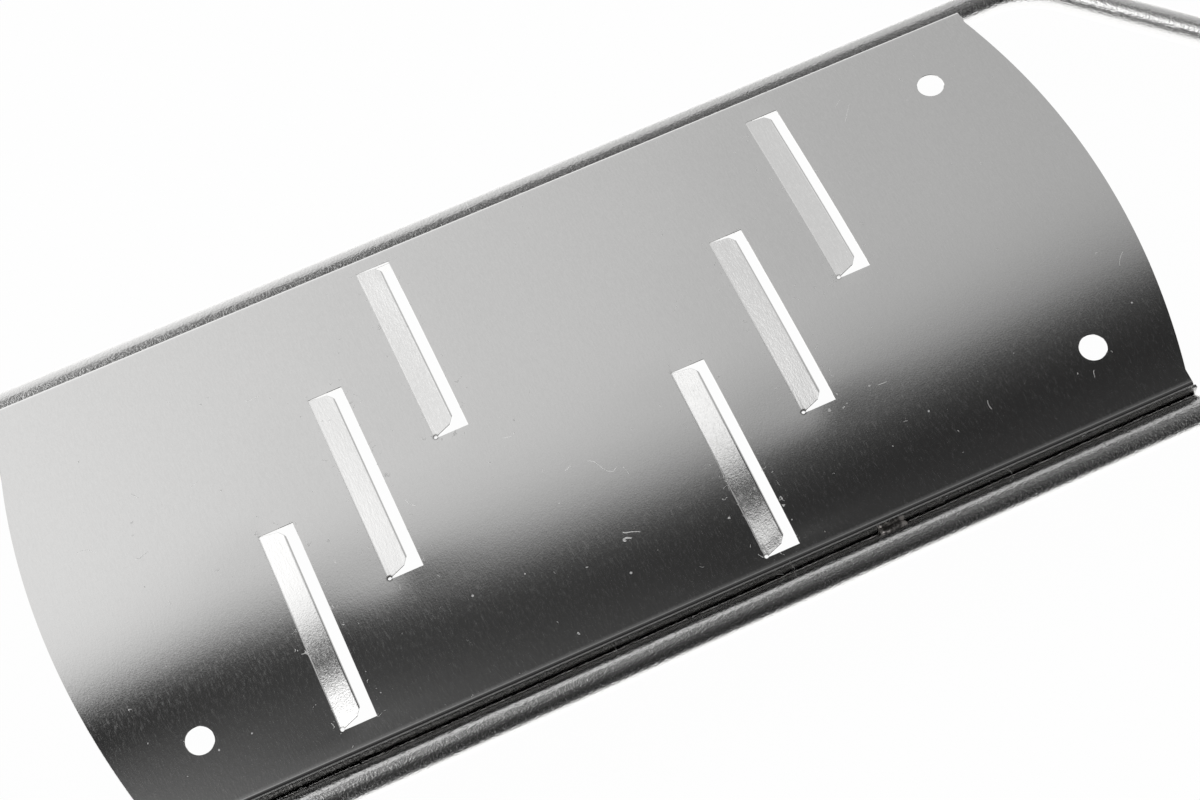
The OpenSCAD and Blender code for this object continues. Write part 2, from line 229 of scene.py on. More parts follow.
# The far side grows brighter towards its horizon
FAR_RISE = curve(TURN, (-90, 1.22), (-62, 1.2), (-48, 1.0))
# Fall of the brightness over that edge: short towards the tip, long towards the handle
SHORT_FALL = curve(
    FROM_EDGE, (-10, 1.0), (-7, 0.99), (-5, 0.97), (-3.5, 0.93), (-2, 0.82), (-1, 0.69), (0, 0.48),
    (0.8, 0.22), (1.5, 0.07), (2.5, 0)
)
LONG_FALL = curve(
    FROM_EDGE, (-13, 1.0), (-9, 0.98), (-7, 0.95), (-5, 0.895), (-3.5, 0.82), (-2, 0.71), (-1, 0.61),
    (0, 0.48), (1, 0.32), (2, 0.16), (3, 0.07), (4.5, 0.02), (6, 0)
)
# A second bright field beyond the dark one: strong on the tip side, a faint halo next to it
TIP_FIELD = curve(
    LEAN, (-1.0, 0.45), (-0.75, 0.6), (-0.6, 0.85), (-0.5, 1.5), (-0.45, 1.7), (-0.38, 1.3), (-0.30, 1.0),
    (-0.2, 0.4), (-0.12, 0.15), (-0.05, 0.082), (0.0, 0.052), (0.08, 0.02), (0.16, 0.006), (0.25, 0)
)
TIP_FIELD_RISE = curve(FROM_EDGE, (2.4, 0), (3.6, 0.08), (4.6, 0.5), (5.4, 0.9), (6.8, 1.0))
# How both go on towards the viewer
HALO_FADE = curve(
    TURN, (-17, 0.3), (-15, 0.5), (-13, 0.9), (-11, 1.25), (-9, 1.4), (-6, 1.5), (4, 2.4), (12, 1.7),
    (22, 0.6), (34, 0)
)
TIP_FIELD_FADE = curve(
    TURN, (2, 1.0), (11, 1.6), (20, 1.3), (30, 0.4), (42, 0.05), (58, 0.05), (75, 0.7), (88, 1.0)
)
# A last bright field at the handle end, which only other views catch
HANDLE_FIELD = curve(LEAN, (0.42, 0), (0.52, 0.3), (0.65, 0.5), (0.85, 0.6), (1.0, 0.5))
# All the rest: a dim strip overhead in the dark
OVERHEAD = curve(
    TURN, (-12, 0.03), (-8, 0.045), (-4, 0.12), (0, 0.24), (6, 0.24), (12, 0.1), (20, 0.06), (42, 0.07),
    (52, 0.045), (66, 0.025), (84, 0.025), (90, 0.03)
)
# Where over the lean one curve gives way to the other, as a slope and a shift
TO_LONG_FALL = (7.0, 0.6)
TO_TIP_FADE = (-8.0, -0.9)


def room():
    """World: a smooth room for reflections, even white for soft light, plain white for the viewer."""
    world = bpy.data.worlds.new("room")
    bpy.context.scene.world = world
    world.use_nodes = True
    world.cycles.sampling_method = "NONE"
    tree = world.node_tree
    tree.nodes.clear()
    lean, across, height = axes(tree, new_node(tree, "TexCoord").outputs["Generated"])
    turn = math_node(tree, "ARCTAN2", math_node(tree, "MULTIPLY", across, -1.0), height)
    turn = math_node(tree, "MULTIPLY", turn, 180 / np.pi)
    turn_place = math_node(tree, "MULTIPLY_ADD", turn, 1 / TURN, 0.5)
    lean_place = math_node(tree, "MULTIPLY_ADD", lean, 1 / LEAN, 0.5)
    edge = ramp_node(tree, lean_place, EDGE_PLACE)
    edge = math_node(tree, "MULTIPLY_ADD", edge, EDGE_SPREAD, EDGE_TURN)
    off = math_node(tree, "SUBTRACT", turn, edge)
    edge_place = math_node(tree, "MULTIPLY_ADD", off, 1 / FROM_EDGE, 0.5)

    def blend(over, place, first, second):
        """One curve giving way to another over the lean."""
        share = new_node(tree, "Clamp", Value=math_node(tree, "MULTIPLY_ADD", lean, *over)).outputs[0]
        return mixed(tree, share, ramp_node(tree, place, first), ramp_node(tree, place, second))

    def product(lean_curve, other):
        """A curve over the lean times another brightness."""
        return math_node(tree, "MULTIPLY", ramp_node(tree, lean_place, lean_curve), other)

    fall = blend(TO_LONG_FALL, edge_place, SHORT_FALL, LONG_FALL)
    field = product(TIP_FIELD, ramp_node(tree, edge_place, TIP_FIELD_RISE))
    fade = blend(TO_TIP_FADE, turn_place, HALO_FADE, TIP_FIELD_FADE)
    field = math_node(tree, "MULTIPLY", field, fade)
    far_side = product(FAR_SIDE, ramp_node(tree, turn_place, FAR_RISE))
    pattern = mixed(tree, fall, ramp_node(tree, turn_place, OVERHEAD), far_side)
    pattern = math_node(tree, "ADD", pattern, field)
    pattern = math_node(tree, "MAXIMUM", pattern, ramp_node(tree, lean_place, HANDLE_FIELD))
    path = new_node(tree, "LightPath").outputs
    plain = mixed(tree, path["Is Diffuse Ray"], 1.0, SOFT_FILL)
    seen = mixed(tree, path["Is Glossy Ray"], plain, pattern)
    sky = new_node(tree, "Background", Color=(1, 1, 1, 1), Strength=seen)
    new_node(tree, "OutputWorld", Surface=sky.outputs[0])


def soft_lamp():
    """Square lamp overhead on the far side; it shapes the shadow and isn't mirrored itself."""
    data = bpy.data.lights.new("soft_lamp", "AREA")
    data.shape = "SQUARE"
    data.size = LAMP_SIDE
    data.energy = LAMP_POWER
    lamp = bpy.data.objects.new("soft_lamp", data)
    bpy.context.scene.collection.objects.link(lamp)
    lamp.location = LAMP_AT
    lamp.rotation_euler = (-Vector(LAMP_AT)).to_track_quat("-Z", "Y").to_euler()
    lamp.visible_glossy = False
    lamp.visible_camera = False


bpy.context.scene.view_settings.view_transform = "Standard"
put_camera()
room()
soft_lamp()
floor_corners = np.array([[-1, -1, 0], [1, -1, 0], [1, 1, 0], [-1, 1, 0]]) * FLOOR_SIDE / 2
floor = mesh_object("floor", floor_corners, np.array([[0, 1, 2, 3]]), material=floor_finish())


# Steel surfaces
# All the metal is stainless steel. What its finishes share, fine grain along the sheet or wire
# and stray scratches, are the two groups below; each metal piece places them with its own values.
STEEL_COLOUR = (0.80, 0.797, 0.79)
GRAIN_DARK = 0.94
SCRATCH_ROUGHNESS = 0.5
SCRATCH_HEIGHT = 2.0
SCRATCH_PLACES = 1.7
SPECK_PLACES = 3.5
SPECK_R = 0.07
SPECK_RARITY = 0.93
# Curves from noise to the grain's own mask and to its sparse threads
GRAIN_MASK = ((0.38, 0.0), (0.62, 1.0))
GRAIN_THREADS = ((0.5, 0.0), (0.72, 1.0))


def finish_group(name, outputs, **inputs):
    """Empty shared finish: a vector and numbers with their usual values go in, numbers come out.
    Returns its tree, what is given to it and what it makes."""
    tree = bpy.data.node_groups.new(name, "ShaderNodeTree")
    new_socket = tree.interface.new_socket
    new_socket("Vector", in_out="INPUT", socket_type="NodeSocketVector")
    for key, value in inputs.items():
        socket = new_socket(key.replace("_", " "), in_out="INPUT", socket_type="NodeSocketFloat")
        socket.default_value = value
    for key in outputs:
        new_socket(key, in_out="OUTPUT", socket_type="NodeSocketFloat")
    return tree, tree.nodes.new("NodeGroupInput").outputs, tree.nodes.new("NodeGroupOutput").inputs


def noise(tree, **values):
    """Value of a noise texture."""
    return new_node(tree, "TexNoise", **values).outputs["Fac"]


def rolled_grain():
    """Grain: fine noise drawn out along the second axis, over a noise that mottles it. Gives a
    height, a mask of the grain and one of its sparse stronger threads, both from 0 to 1."""
    tree, given, made = finish_group(
        "rolled_grain", ("Height", "Mask", "Threads"), Lines=9000.0, Stretch=0.05, Mottle=2500.0,
        Mottle_Height=1.0
    )
    x, y, z = axes(tree, given["Vector"])
    drawn = math_node(tree, "MULTIPLY", y, given["Stretch"])
    drawn = new_node(tree, "CombineXYZ", X=x, Y=drawn, Z=z)
    lines = noise(tree, Vector=drawn.outputs[0], Scale=given["Lines"], Detail=2.0, Roughness=0.6)
    mottle = noise(tree, Vector=given["Vector"], Scale=given["Mottle"], Detail=3.0, Roughness=0.65)
    raised = math_node(tree, "MULTIPLY", mottle, given["Mottle Height"])
    both = math_node(tree, "MULTIPLY", math_node(tree, "ADD", mottle, lines), 0.5)
    feed(tree, made["Height"], math_node(tree, "ADD", raised, lines))
    feed(tree, made["Mask"], ramp_node(tree, both, GRAIN_MASK))
    feed(tree, made["Threads"], ramp_node(tree, lines, GRAIN_THREADS))
    return tree


def stray_scratches():
    """Scratches: thin bent threads, each the middle line of one noise, kept only where another
    noise is high, and small specks from scattered cells. Gives a mask of 0 or 1."""
    tree, given, made = finish_group(
        "stray_scratches", ("Mask",), Scale=120.0, Thinness=0.006, Rarity=0.66, Specks=420.0
    )
    path = noise(tree, Vector=given["Vector"], Scale=given["Scale"], Detail=1.0, Distortion=0.6)
    off_line = math_node(tree, "ABSOLUTE", math_node(tree, "SUBTRACT", path, 0.5))
    thread = math_node(tree, "LESS_THAN", off_line, given["Thinness"])
    place_scale = math_node(tree, "MULTIPLY", given["Scale"], SCRATCH_PLACES)
    places = noise(tree, Vector=given["Vector"], Scale=place_scale, Detail=0.0)
    kept = math_node(tree, "GREATER_THAN", places, given["Rarity"])
    cells = new_node(tree, "TexVoronoi", Vector=given["Vector"], Scale=given["Specks"])
    dot = math_node(tree, "LESS_THAN", cells.outputs["Distance"], SPECK_R)
    shade = new_node(tree, "SeparateColor", Color=cells.outputs["Color"])
    chosen = math_node(tree, "GREATER_THAN", shade.outputs[0], SPECK_RARITY)
    thread = math_node(tree, "MULTIPLY", thread, kept)
    dot = math_node(tree, "MULTIPLY", dot, chosen)
    feed(tree, made["Mask"], math_node(tree, "MAXIMUM", thread, dot))
    return tree


GRAIN = rolled_grain()
SCRATCHES = stray_scratches()


def placed_group(tree, group, **values):
    """Outputs of a shared finish placed in a material with that material's own values."""
    node = new_node(tree, "Group")
    node.node_tree = group
    return wire_up(tree, node, **values).outputs


def new_material(name):
    """Material with its tree and its main shader."""
    material = bpy.data.materials.new(name)
    material.use_nodes = True
    return material, material.node_tree, material.node_tree.nodes["Principled BSDF"]


def bumped(tree, height, distance, strength=1.0):
    """Normal of a surface with this height on it."""
    return new_node(tree, "Bump", Strength=strength, Distance=distance, Height=height).outputs["Normal"]


def steel_finish(name, colour, roughness, rough_spread, lines, stretch, mottle, mottle_height, grain_height,
                 scratch_scale, rarity, thinness=0.006, threads=0.0, along_uv=False, marks=None):
    """Bare stainless steel: grain lifts the surface a little and spreads its roughness; threads
    and scratches are rough. A function of its own may add marks to colour, roughness and height."""
    material, tree, surface = new_material(name)
    where = new_node(tree, "TexCoord").outputs["UV" if along_uv else "Object"]
    grain = placed_group(
        tree, GRAIN, Vector=where, Lines=lines, Stretch=stretch, Mottle=mottle, Mottle_Height=mottle_height
    )
    scratched = placed_group(
        tree, SCRATCHES, Vector=where, Scale=scratch_scale, Rarity=rarity, Thinness=thinness,
        Specks=scratch_scale * SPECK_PLACES
    )["Mask"]
    shown = mixed(tree, grain["Mask"], (*[c * GRAIN_DARK for c in colour], 1), (*colour, 1), colour=True)
    rough = mixed(tree, grain["Mask"], roughness - rough_spread, roughness + rough_spread)
    rough = math_node(tree, "MULTIPLY_ADD", grain["Threads"], threads, rough)
    rough = mixed(tree, scratched, rough, SCRATCH_ROUGHNESS)
    height = math_node(tree, "MULTIPLY_ADD", scratched, SCRATCH_HEIGHT, grain["Height"])
    if marks:
        shown, rough, height = marks(tree, where, shown, rough, height)
    normal = bumped(tree, height, grain_height)
    wire_up(tree, surface, Metallic=1.0, Base_Color=shown, Roughness=rough, Normal=normal)
    return material


# Blade plate
# One sheet of bright rolled stainless, arched across its width, bent down to a flange along both
# long edges and pierced. Six slots each leave a lip, raised about its fold towards the tip and
# ground along its cutting edge. Three round holes are where it was held while it was formed.
PLATE_LEN = 149.4
PLATE_W = 64.6
SHEET_T = 0.5
ARCH_RISE = 1.9
END_R = 110.0
END_CORNER_W = 2.2
BEND_R = 0.55
FLANGE_H = 5.0
FLANGE_REACH = 0.7
FLANGE_CORNER = 1.0
FLANGE_OUT = (0.35, 1.05)
SLOT_W = 4.67
SLOT_LEN = 28.0
SLOT_ROWS = 3
ROW_PITCH = 15.55
ROW_STEP = 12.7
COLUMN_PITCH = 56.4
COLUMN_SHIFT = 1.57
PATTERN_OFFSET = 2.15
PATTERN_SIDE = 0.24
LIP_W = 3.1
LIP_ANGLE = np.radians(14.5)
LIP_T = 0.42
LIP_THINNED = 0.3
LIP_TAPER = 0.9
LIP_CORNER = 0.6
FOLD_SOFT = 0.12
DISH_DEPTH = 0.05
DISH_RIM = 0.045
DISH_REACH = 8.0
DISH_END = 4.0
DISH_CLEAR = 0.3
DISH_EDGE = 3.0
RELIEF_R = 0.26
RELIEF_AT = (0.2, 0.15)
HOLE_R = 1.8
HOLES = ((61.3, 22.5), (61.3, -22.5), (-61.5, -22.9))
ARRIS = 0.05
ARRIS_SHARE = 0.3
LEAST_MITRE = 0.5
CRISP_SHEET = 22

plate_low, plate_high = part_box("blade_plate")
plate_x = (plate_low.x + plate_high.x) / 2 / MM
edge_z = plate_low.z / MM + FLANGE_H
flange_y = PLATE_W / 2
arch_r = (flange_y ** 2 + ARCH_RISE ** 2) / (2 * ARCH_RISE)
arch_z = edge_z + ARCH_RISE - arch_r
bend_y = flange_y - BEND_R
bend_turn = np.arcsin(bend_y / (arch_r - BEND_R))
bend_z = arch_z + (arch_r - BEND_R) * np.cos(bend_turn)
arch_s = arch_r * bend_turn
flange_s = arch_s + BEND_R * (np.pi / 2 - bend_turn)
sheet_end_s = flange_s + bend_z - (edge_z - FLANGE_H)
corner_y = flange_y - END_CORNER_W
corner_x = PLATE_LEN / 2 - (END_R - np.sqrt(END_R ** 2 - corner_y ** 2))
outline_s = np.array([
    0, flange_s, *[flange_s + down for down in FLANGE_OUT], sheet_end_s - FLANGE_CORNER, sheet_end_s
])


def slot_centre(column, row):
    """Middle of a slot, from the middle of the plate, in mm."""
    x = -PATTERN_OFFSET + (column - 0.5) * COLUMN_PITCH + ((SLOT_ROWS - 1) / 2 - row) * ROW_STEP
    y = -PATTERN_SIDE - (column - 0.5) * COLUMN_SHIFT + ((SLOT_ROWS - 1) / 2 - row) * ROW_PITCH
    return x, y


SLOTS = [slot_centre(column, row) for column in (0, 1) for row in range(SLOT_ROWS)]


def arc_place(y):
    """Length along the arch, from the ridge, at a distance y from it."""
    return arch_r * np.arcsin(np.asarray(y) / arch_r)


def arch_y(s):
    """Distance from the ridge at a length along the arch, held at the start of the bends."""
    return arch_r * np.sin(np.clip(s, -arch_s, arch_s) / arch_r)


def sheet_point(x, s, rise, depth):
    """Point of the formed sheet: s runs across it from the ridge along its outer face, over the
    arch, round the bend and down the flange; rise lifts it off the arch and depth goes inwards."""
    side = np.sign(s)
    s = np.abs(s)
    on_arch = s <= arch_s
    turn = np.where(on_arch, s / arch_r, np.minimum(bend_turn + (s - arch_s) / BEND_R, np.pi / 2))
    reach = np.where(on_arch, arch_r + rise - depth, BEND_R - depth)
    y = np.where(on_arch, 0, bend_y) + reach * np.sin(turn)
    z = np.where(on_arch, arch_z, bend_z) + reach * np.cos(turn) - np.maximum(s - flange_s, 0)
    return np.stack([x + plate_x, side * y, z], axis=-1) * MM


def end_place(s):
    """Distance from the middle of the plate to its end outline, across the sheet: an arc, then
    straight, then out to the reach of the flange and in again at its lower corner."""
    s = np.abs(s)
    arc = PLATE_LEN / 2 - (END_R - np.sqrt(END_R ** 2 - np.minimum(arch_y(s), corner_y) ** 2))
    neck = corner_x - FLANGE_REACH / 2
    reach = corner_x + FLANGE_REACH
    outline = [corner_x, corner_x, neck, reach, reach, reach - FLANGE_CORNER]
    return np.where(s < flange_s, arc, np.interp(s, outline_s, outline))


def smooth_step(t):
    """0 below 0, 1 above 1 and a smooth rise between."""
    t = np.clip(t, 0, 1)
    return t ** 2 * (3 - 2 * t)


def dish(x, y):
    """Height of the slight hollow that forming left beside each slot: smooth along the slot, it
    sinks on the side of the fold, stands up on the other side and fades with a bell curve."""
    height = np.zeros(np.broadcast(x, y).shape)
    for x_slot, y_slot in SLOTS:
        inside = smooth_step((SLOT_LEN / 2 + DISH_END - np.abs(y - y_slot)) / (2 * DISH_END))
        over = np.clip((x - x_slot) / SLOT_W + 0.5, 0, 1)
        away = np.maximum(np.abs(x - x_slot) - SLOT_W / 2, 0)
        side = -DISH_DEPTH + (DISH_DEPTH + DISH_RIM) * (1 - np.cos(np.pi * over)) / 2
        height += side * np.exp(-(away / DISH_REACH) ** 2) * inside
    return height * smooth_step((bend_y - DISH_CLEAR - np.abs(y)) / DISH_EDGE)


def lip_rise(u):
    """Height of a lip above the arch at a distance u from its fold: a short round fold, then
    straight."""
    return np.tan(LIP_ANGLE) * np.where(u < FOLD_SOFT, u * u / (2 * FOLD_SOFT), u - FOLD_SOFT / 2)


def lip_end(u):
    """Draw-in of each end of a lip at a distance u from its fold: a taper, then a cut corner."""
    return LIP_TAPER * u / LIP_W + np.maximum(u - LIP_W + LIP_CORNER, 0)


# Mesh of the sheet: a grid of lines no further apart than CELL. Blocks about the holes and the
# relief notches are filled with rings, and each lip has lines of its own from its fold.
CELL = 1.3
STRETCH_FROM = 66.0
BEND_LINES = 9
HOLE_BLOCK, HOLE_LINES, HOLE_LAYERS = 2.7, 9, 5
NOTCH_BLOCK, NOTCH_LINES, NOTCH_LAYERS = 0.75, 5, 4
LAYER_POWER = 0.8
RELIEF_SPAN = (
    np.arctan2(np.sqrt(RELIEF_R ** 2 - RELIEF_AT[0] ** 2), -RELIEF_AT[0]),
    2 * np.pi + np.arctan2(-RELIEF_AT[1], np.sqrt(RELIEF_R ** 2 - RELIEF_AT[1] ** 2))
)
LIP_LINES = np.array([
    0, 0.04, 0.08, 0.12, 0.2, 0.28, 0.34, 0.38, 0.42, 0.45, 0.46, 0.5, 0.62, 0.8, 1.2, 1.6, 2.0, 2.3,
    2.5, 2.7, 2.9, 3.0
])
EDGE_TURNS = np.radians([15, 30, 45, 60, 75, 90])
EDGE_RUN = 0.3
EDGE_DROP = 0.34
FOLD_WORN = 0.12


def filled_lines(fixed, step):
    """Grid lines through the fixed places, with even lines between, no further apart than step."""
    fixed = np.unique(np.round(fixed, 6))
    counts = np.maximum(1, np.ceil(np.diff(fixed) / step)).astype(int)
    runs = [np.linspace(a, b, n, endpoint=False) for a, b, n in zip(fixed[:-1], fixed[1:], counts)]
    return np.concatenate(runs + [fixed[-1:]])


def numbered(rows, columns, first=0):
    """Numbers of the points of a grid, counted from first."""
    return first + np.arange(rows * columns).reshape(rows, columns)


def spread(*parts):
    """Parts of points, each spread to the shape that fits them all, as one array."""
    return np.stack(np.broadcast_arrays(*parts), axis=-1)


def grid_faces(grid):
    """Corners of the cells of a grid: of point numbers, or of what belongs to each point."""
    return np.stack([grid[:-1, :-1], grid[1:, :-1], grid[1:, 1:], grid[:-1, 1:]], axis=2)


def ring_patch(outer, centre, radius, layers, span=None):
    """Rings of points between the outline of a removed block and the round hole in it: each line
    goes straight from a point of the outline towards the middle of the hole. A span is the pair
    of angles at which an open outline starts and ends on the circle; the others follow evenly."""
    away = outer - centre
    angle = np.unwrap(np.arctan2(away[:, 1], away[:, 0]))
    if span:
        angle = span[0] + (angle - angle[0]) * (span[1] - span[0]) / (angle[-1] - angle[0])
    circle = centre + radius * np.stack([np.cos(angle), np.sin(angle)], axis=-1)
    steps = np.linspace(0, 1, layers + 1)[1:] ** LAYER_POWER
    return outer[None] + steps[:, None, None] * (circle - outer)[None]


def removed_blocks():
    """Blocks of the grid that rings fill: place, half side, radius, lines, is it a notch."""
    hole = (HOLE_BLOCK, HOLE_R, HOLE_LINES, False)
    notch = (NOTCH_BLOCK, RELIEF_R, NOTCH_LINES, True)
    return [(x, arc_place(y), *hole) for x, y in HOLES] + [
        (x - SLOT_W / 2, arc_place(y - SLOT_LEN / 2), *notch) for x, y in SLOTS
    ]


def sheet_lines():
    """Grid lines along the tool and across the sheet, through every edge that it needs."""
    along = [-PLATE_LEN / 2, -STRETCH_FROM, STRETCH_FROM, PLATE_LEN / 2]
    across = [arc_place(corner_y), *np.linspace(arch_s, flange_s, BEND_LINES), *outline_s]
    across = [*across, *[-s for s in across]]
    for x, s, half, _, lines, _ in removed_blocks():
        beside = half * np.tan(np.radians(np.linspace(-45, 45, lines)))
        along += list(x + beside)
        across += list(s + beside)
    for x, y in SLOTS:
        along += [x + SLOT_W / 2, x - SLOT_W / 2 - FOLD_WORN]
        across.append(arc_place(y + SLOT_LEN / 2))
    return filled_lines(along, CELL), filled_lines(across, CELL)


def line_index(lines, places):
    """Numbers of the grid lines at the given places."""
    return np.abs(lines[None] - np.atleast_1d(places)[:, None]).argmin(axis=1)


def block_rings(along, across, number, flat):
    """Rings that fill the removed blocks. Returns their places, their faces and, for each notch,
    the numbers of the points from its hole outwards where the fold of the lip starts."""
    places, faces, fold_starts = [], [], []
    count = len(flat)
    for x, s, half, radius, _, notch in removed_blocks():
        i0, i1 = line_index(along, [x - half, x + half])
        j0, j1 = line_index(across, [s - half, s + half])
        if notch:
            (i,), (j,) = line_index(along, x), line_index(across, s)
            loop = np.concatenate([
                number[i1, j:j0:-1], number[i1:i0:-1, j0], number[i0, j0:j1], number[i0:i + 1, j1]
            ])[::-1]
            rings = ring_patch(flat[loop], np.array([x, s]) + RELIEF_AT, radius, NOTCH_LAYERS, RELIEF_SPAN)
        else:
            loop = np.concatenate([
                number[i0:i1, j0], number[i1, j0:j1], number[i1:i0:-1, j1], number[i0, j1:j0:-1]
            ])
            rings = ring_patch(flat[loop], np.array([x, s]), radius, HOLE_LAYERS)
        ids = np.concatenate([loop[None], numbered(*rings.shape[:2], count)])
        count += rings[..., 0].size
        places.append(rings.reshape(-1, 2))
        if notch:
            fold_starts.append(ids[::-1, 0])
        else:
            ids = np.column_stack([ids, ids[:, 0]])
        faces.append(grid_faces(ids)[..., [0, 3, 2, 1]].reshape(-1, 4))
    return places, faces, fold_starts


def slot_lips(along, across, number, flat, fold_starts):
    """Lips: lines of points parallel to each fold, drawn in at both ends, round at the near end
    for the notch, and turned down along the cutting edge. Returns rows like those of plate_sheet,
    and faces."""
    u = np.concatenate([LIP_LINES, LIP_LINES[-1] + EDGE_RUN * np.sin(EDGE_TURNS)])
    drop = np.concatenate([0 * LIP_LINES, EDGE_DROP * (1 - np.cos(EDGE_TURNS))])
    thick = SHEET_T + (LIP_T - SHEET_T) * np.minimum(u / LIP_THINNED, 1)
    notch = RELIEF_AT[1] + np.sqrt(np.maximum(RELIEF_R ** 2 - (u - RELIEF_AT[0]) ** 2, 0))
    notch = np.where(u <= RELIEF_AT[0] + RELIEF_R, notch, 0)
    rows, faces = [], []
    count = len(flat)
    for (x, y), fold_start in zip(SLOTS, fold_starts):
        fold, near, far = x - SLOT_W / 2, arc_place(y - SLOT_LEN / 2), arc_place(y + SLOT_LEN / 2)
        i, = line_index(along, fold)
        j0, j1 = line_index(across, [near + NOTCH_BLOCK, far])
        fold_line = np.concatenate([fold_start, number[i, j0 + 1:j1 + 1]])
        s_fold = flat[fold_line, 1]
        share = (s_fold - s_fold[0]) / (s_fold[-1] - s_fold[0])
        start = near + np.maximum(notch, lip_end(u))
        end = far - lip_end(u)
        s_lip = start[:, None] + share[None] * (end - start)[:, None]
        ids = np.concatenate([fold_line[None], numbered(len(u) - 1, len(share), count)])
        count += (len(u) - 1) * len(share)
        sunk = dish(fold, arch_y(s_lip[:1]))
        rows.append(spread(
            (fold + u)[1:, None], s_lip[1:], (lip_rise(u) - drop)[1:, None] + sunk,
            lip_rise(u)[1:, None] + sunk, thick[1:, None]
        ).reshape(-1, 5))
        faces.append(grid_faces(ids).reshape(-1, 4))
    return rows, faces


def plate_sheet():
    """The sheet as quads with its holes, slots and lips. Each row is a point: its places along
    and across, the rise of the outer and of the inner face, and the thickness."""
    along, across = sheet_lines()
    number = numbered(len(along), len(across))
    flat = np.stack(np.meshgrid(along, across, indexing="ij"), axis=-1).reshape(-1, 2)
    x_mid = (along[:-1] + along[1:])[:, None] / 2
    s_mid = (across[:-1] + across[1:])[None] / 2
    keep = np.ones((len(along) - 1, len(across) - 1), dtype=bool)
    for x, y in SLOTS:
        low, high = arc_place(y - SLOT_LEN / 2), arc_place(y + SLOT_LEN / 2)
        keep &= ~((np.abs(x_mid - x) < SLOT_W / 2) & (s_mid > low) & (s_mid < high))
    for x, s, half, *_ in removed_blocks():
        keep &= ~((np.abs(x_mid - x) < half) & (np.abs(s_mid - s) < half))
    places, patches, fold_starts = block_rings(along, across, number, flat)
    flat = np.concatenate([flat, *places])
    rise = dish(flat[:, 0], arch_y(flat[:, 1]))
    rows = np.column_stack([flat, rise, rise, np.full(len(flat), SHEET_T)])
    lip_rows, lips = slot_lips(along, across, number, flat, fold_starts)
    return np.concatenate([rows, *lip_rows]), np.concatenate([grid_faces(number)[keep], *patches, *lips])


def stretched(x, s):
    """Places along the tool with both ends of the sheet drawn out to its end outline."""
    over = np.maximum(np.abs(x) - STRETCH_FROM, 0) / (PLATE_LEN / 2 - STRETCH_FROM)
    return np.sign(x) * (np.minimum(np.abs(x), STRETCH_FROM) + over * (end_place(s) - STRETCH_FROM))


def rim_of(points, quads):
    """Open edges of a sheet of quads, each with the sheet on its left, as (from, to) numbers, and
    for every point on them the mitred direction into the sheet."""
    edges = np.concatenate([quads[:, [k, (k + 1) % 4]] for k in range(4)])
    key = edges.min(axis=1) * len(points) + edges.max(axis=1)
    _, first, uses = np.unique(key, return_index=True, return_counts=True)
    rim = edges[first[uses == 1]]
    across = np.cross(points[quads[:, 2]] - points[quads[:, 0]], points[quads[:, 3]] - points[quads[:, 1]])
    normal = np.zeros_like(points)
    for k in range(4):
        np.add.at(normal, quads[:, k], across)
    normal /= np.linalg.norm(normal, axis=1, keepdims=True) + 1e-30
    run = points[rim[:, 1]] - points[rim[:, 0]]
    run /= np.linalg.norm(run, axis=1, keepdims=True)
    before = np.zeros_like(points)
    after = np.zeros_like(points)
    after[rim[:, 0]] = np.cross(normal[rim[:, 0]], run)
    before[rim[:, 1]] = np.cross(normal[rim[:, 1]], run)
    mitre = np.maximum(1 + np.sum(before * after, axis=1, keepdims=True), LEAST_MITRE)
    return rim, (before + after) / mitre


def solid_sheet(outer, inner, quads):
    """Closed solid between the outer and the inner face of a sheet, with a narrow arris broken
    along every edge: both faces stop short of the edge, and two rings run round it."""
    rim, inward = rim_of(outer, quads)
    count = len(outer)
    edge_points = np.unique(rim)
    depth = np.linalg.norm(inner - outer, axis=1)
    arris = np.minimum(ARRIS * MM, ARRIS_SHARE * depth)
    share = (arris / depth)[edge_points, None]
    ring_high = outer[edge_points] * (1 - share) + inner[edge_points] * share
    ring_low = outer[edge_points] * share + inner[edge_points] * (1 - share)
    outer = outer + inward * arris[:, None]
    inner = inner + inward * arris[:, None]
    place = np.zeros(count, dtype=int)
    place[edge_points] = np.arange(len(edge_points))
    on_ring = 2 * count + place[rim]
    steps = [rim, on_ring, on_ring + len(edge_points), count + rim]
    walls = [np.stack([a[:, 1], a[:, 0], b[:, 0], b[:, 1]], axis=-1) for a, b in zip(steps, steps[1:])]
    points = np.concatenate([outer, inner, ring_high, ring_low])
    return points, np.concatenate([quads, quads[:, ::-1] + count, *walls])


def without_spares(points, faces):
    """Drops the points that no face uses."""
    used, number = np.unique(faces, return_inverse=True)
    return points[used], number.reshape(faces.shape)


# Marks about the slots: painted shade at the relief notches; worn folds, burrs and lip grain
# Painted shade at the rims of the relief notches: its strength at each slot, reach, steepness, colour and
# roughness
PAINTED_NOTCH_SHADE = (0.55, 1.0, 0.2, 0.3, 0.95, 0.6)
NOTCH_SHADE_REACH = 0.2
NOTCH_SHADE_STEEP = 1.4
NOTCH_SHADE_COLOUR = (0.05, 0.048, 0.045, 1)
NOTCH_SHADE_ROUGHNESS = 0.4
WORN_BEYOND = 0.05
WORN_ROUGHNESS = 0.3
BURR_REACH = 3.0
BURR_SHAPE = {"Scale": 700.0, "Thinness": 0.014, "Specks": 420.0}
BURR_RARITY = (0.84, 0.6)
LIP_INSET = 0.01
LIP_GRAIN = 0.8


